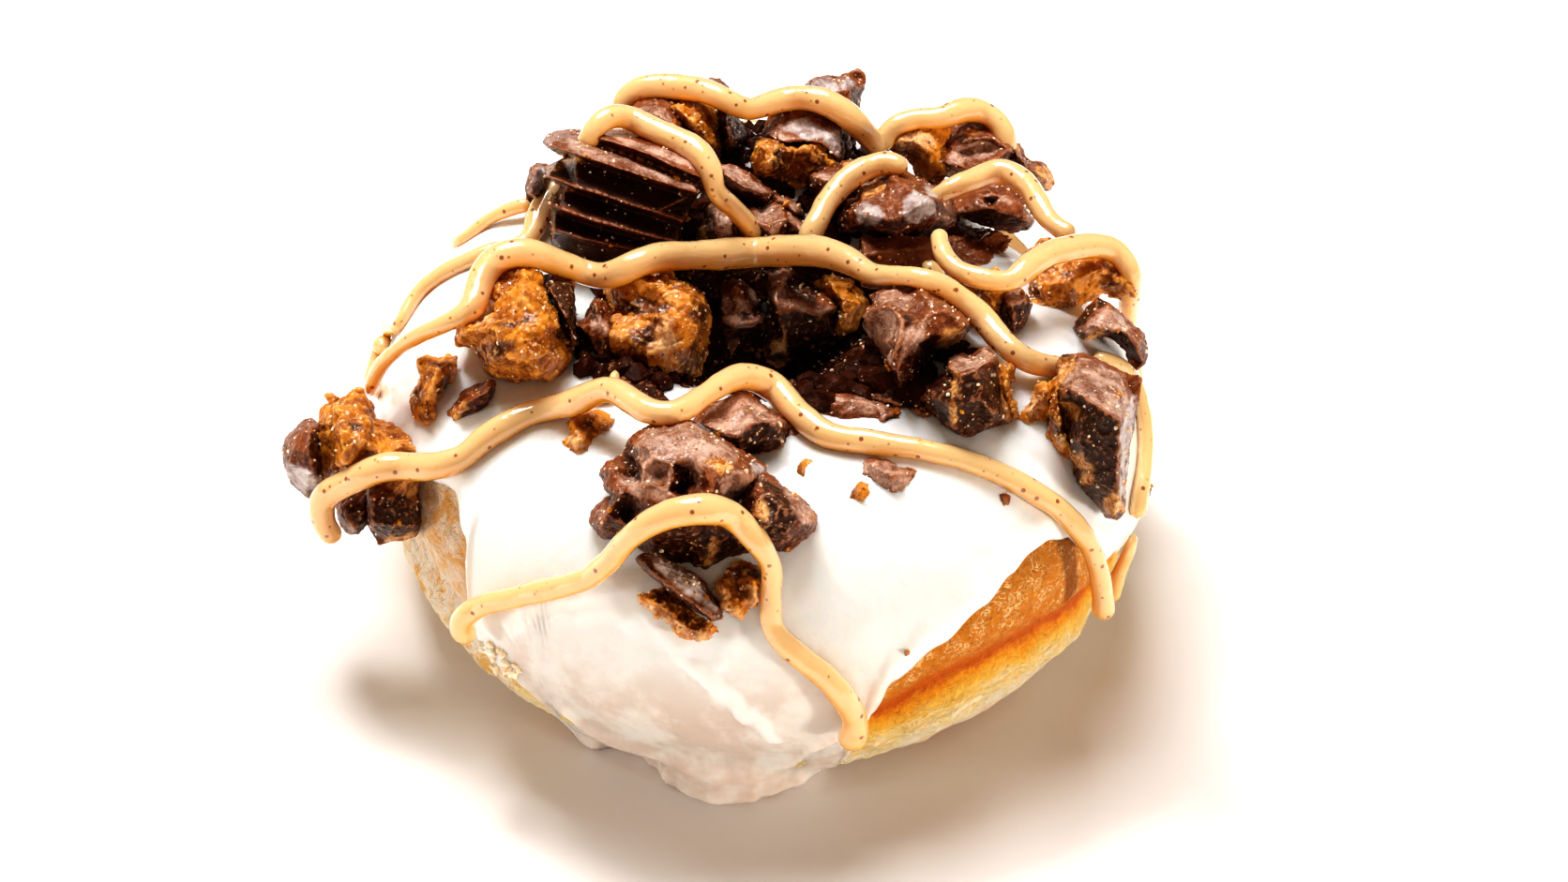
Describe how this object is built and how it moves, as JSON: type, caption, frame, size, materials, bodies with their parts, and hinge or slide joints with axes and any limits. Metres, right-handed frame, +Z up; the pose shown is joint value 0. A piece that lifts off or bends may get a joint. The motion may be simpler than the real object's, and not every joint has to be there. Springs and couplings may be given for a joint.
{
  "type": "peanut butter mini doughnut",
  "caption": "Small fried ring doughnut under white icing, piled with broken chocolate and peanut butter cup pieces and a peanut drizzle.",
  "frame": {"origin": "middle of the whole outline seen from above, at the level of the table under the ring", "axes": "+Z up through the upright hole, the pictured front facing -Y, the pieces that overhang the side at -X"},
  "size_m": [0.071, 0.0661, 0.0384],
  "materials": {
    "dough": "fried crust, dry and slightly fuzzy, with a pale band",
    "icing": "set sugar icing, glossy and slightly translucent",
    "milk_chocolate": "broken milk chocolate, satin faces and thin lighter edges",
    "peanut_filling": "moist crumbly peanut filling",
    "peanut_drizzle": "smooth glossy peanut sauce with small brown specks"
  },
  "bodies": {
    "root": {"dough_ring": "dough", "icing": "icing", "left_cup_chocolate": "milk_chocolate", "left_lower_block": "milk_chocolate", "left_lower_shard": "milk_chocolate", "left_flake": "milk_chocolate", "row_a_chocolate": "milk_chocolate", "row_b_chocolate": "milk_chocolate", "row_c_chocolate": "milk_chocolate", "row_d_chocolate": "milk_chocolate", "row_e_chocolate": "milk_chocolate", "row_f_chocolate": "milk_chocolate", "hole_shard": "milk_chocolate", "right_lump_chocolate": "milk_chocolate", "right_curved_chocolate": "milk_chocolate", "tall_block_chocolate": "milk_chocolate", "front_left_chocolate": "milk_chocolate", "front_right_chocolate": "milk_chocolate", "front_rear_chocolate": "milk_chocolate", "front_slab": "milk_chocolate", "left_plate": "milk_chocolate", "back_left_chocolate": "milk_chocolate", "back_left_dark": "milk_chocolate", "back_mid_chocolate": "milk_chocolate", "back_spike": "milk_chocolate", "back_slab": "milk_chocolate", "back_small_left": "milk_chocolate", "back_small_middle": "milk_chocolate", "back_small_right": "milk_chocolate", "glossy_block": "milk_chocolate", "glossy_block_foot": "milk_chocolate", "back_right_slab": "milk_chocolate", "back_right_tip": "milk_chocolate", "back_right_under": "milk_chocolate", "fluted_cup_side": "milk_chocolate", "left_cup_filling": "peanut_filling", "left_filling_bit": "peanut_filling", "row_a_filling": "peanut_filling", "row_b_filling": "peanut_filling", "row_d_filling": "peanut_filling", "row_f_filling": "peanut_filling", "right_lump_filling": "peanut_filling", "right_slab_filling": "peanut_filling", "tall_block_filling": "peanut_filling", "right_bit": "peanut_filling", "front_crumb": "peanut_filling", "front_flake": "peanut_filling", "back_left_filling": "peanut_filling", "back_mid_filling": "peanut_filling", "back_right_lump": "peanut_filling"}
  },
  "joints": []
}
